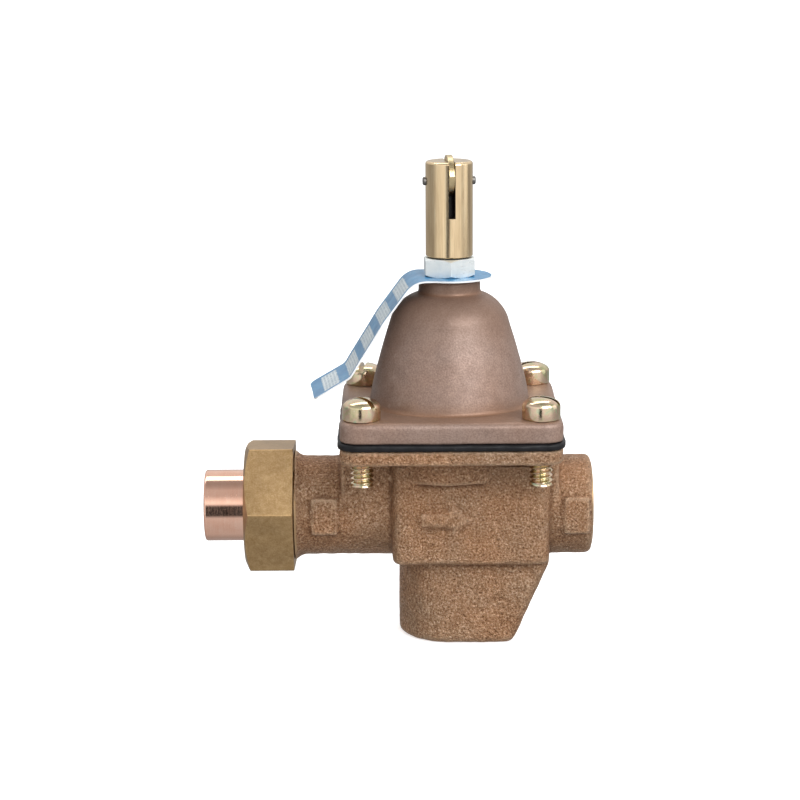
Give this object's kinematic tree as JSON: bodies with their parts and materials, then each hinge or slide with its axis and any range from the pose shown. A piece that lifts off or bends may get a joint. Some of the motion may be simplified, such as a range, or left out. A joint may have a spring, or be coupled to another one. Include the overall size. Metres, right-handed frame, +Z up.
{
  "type": "water pressure regulator",
  "caption": "Bronze feed-water pressure reducing valve: union solder inlet, threaded outlet, bell spring housing over a diaphragm, slotted adjusting screw with a fast-fill lever.",
  "frame": {"origin": "centre of the outlet port's end face, on the flow axis", "axes": "+X along the flow, out of the outlet; +Z up the valve stem towards the adjusting screw"},
  "size_m": [0.1013, 0.0578, 0.1264],
  "materials": {
    "cast_bronze": "sand-cast, blasted",
    "bonnet_coating": "fine matte coating",
    "black_rubber": "moulded",
    "yellow_zinc": "yellow chromate on zinc",
    "bright_brass": "turned, bright",
    "white_zinc": "clear zinc plate",
    "dark_steel": "plain",
    "spring_steel": "drawn wire",
    "stainless": "mill finish",
    "tag_card": "printed and laminated",
    "union_brass": "machined hexagon bar",
    "copper": "drawn and polished",
    "pale_plastic": "moulded",
    "fibre": "pressed fibre"
  },
  "bodies": {
    "housing": {"body": "cast_bronze", "bonnet": "bonnet_coating", "diaphragm": "black_rubber", "cover_screw_front_left": "yellow_zinc", "cover_screw_front_right": "yellow_zinc", "cover_screw_rear_left": "yellow_zinc", "cover_screw_rear_right": "yellow_zinc", "instruction_tag": "tag_card", "valve_seat": "bright_brass", "seat_ring": "fibre", "strainer_screen": "stainless", "stem_guide": "pale_plastic", "main_spring": "spring_steel", "bottom_spring": "stainless", "check_housing": "pale_plastic", "check_o_ring": "black_rubber", "check_spring": "stainless"},
    "screw_nose": {"thrust_washer": "bright_brass"},
    "adjuster": {"adjusting_screw": "bright_brass", "lever_pin": "dark_steel"},
    "lever": {"fast_fill_lever": "bright_brass"},
    "rod": {"push_rod": "stainless", "spring_button": "white_zinc"},
    "nut": {"lock_nut": "white_zinc"},
    "valve": {"valve_stem": "stainless", "disc_holder": "bright_brass", "valve_disc": "black_rubber", "lower_diaphragm_plate": "bright_brass", "pressure_plate": "white_zinc", "stem_nut": "bright_brass"},
    "tail": {"union_tailpiece": "copper", "union_gasket": "fibre"},
    "union": {"union_nut": "union_brass"},
    "check": {"check_poppet": "pale_plastic", "check_seal": "black_rubber"}
  },
  "joints": [
    {"name": "adjuster_travel", "type": "slide", "parent": "housing", "child": "screw_nose", "axis": [0, 0, 1], "range_m": [0, 0.0025], "deforming": ["main_spring"]},
    {"name": "adjuster_turn", "type": "hinge", "parent": "screw_nose", "child": "adjuster", "pos_m": [-0.0371, 0, 0.066], "axis": [0, 0, 1], "range_deg": [0, 720]},
    {"name": "lever_pivot", "type": "hinge", "parent": "adjuster", "child": "lever", "pos_m": [-0.0371, 0, 0.08535], "axis": [0.9945, 0.1045, 0], "range_deg": [0, 90]},
    {"name": "rod_lift", "type": "slide", "parent": "screw_nose", "child": "rod", "axis": [0, 0, -1], "range_m": [0, 0.00272], "deforming": ["main_spring"]},
    {"name": "lock_nut_turn", "type": "hinge", "parent": "housing", "child": "nut", "pos_m": [-0.0371, 0, 0.061], "axis": [0, 0, 1], "range_deg": [0, 60]},
    {"name": "valve_travel", "type": "slide", "parent": "housing", "child": "valve", "axis": [0, 0, 1], "range_m": [0, 0.0025], "deforming": ["diaphragm", "main_spring", "bottom_spring"]},
    {"name": "union_travel", "type": "slide", "parent": "housing", "child": "tail", "axis": [-1, 0, 0], "range_m": [0, 0.00602]},
    {"name": "union_turn", "type": "hinge", "parent": "tail", "child": "union", "pos_m": [-0.0841, 0, 0], "axis": [-1, 0, 0], "range_deg": [0, 1440]},
    {"name": "check_travel", "type": "slide", "parent": "housing", "child": "check", "axis": [1, 0, 0], "range_m": [0, 0.0025], "deforming": ["check_spring"]}
  ],
  "couplings": [
    {"joint": "adjuster_turn", "follows": "adjuster_travel", "rad_per_m": 5026.5},
    {"joint": "rod_lift", "follows": "lever_pivot", "m_per_rad": 0.0017189},
    {"joint": "union_travel", "follows": "union_turn", "m_per_rad": 0.00023873}
  ]
}
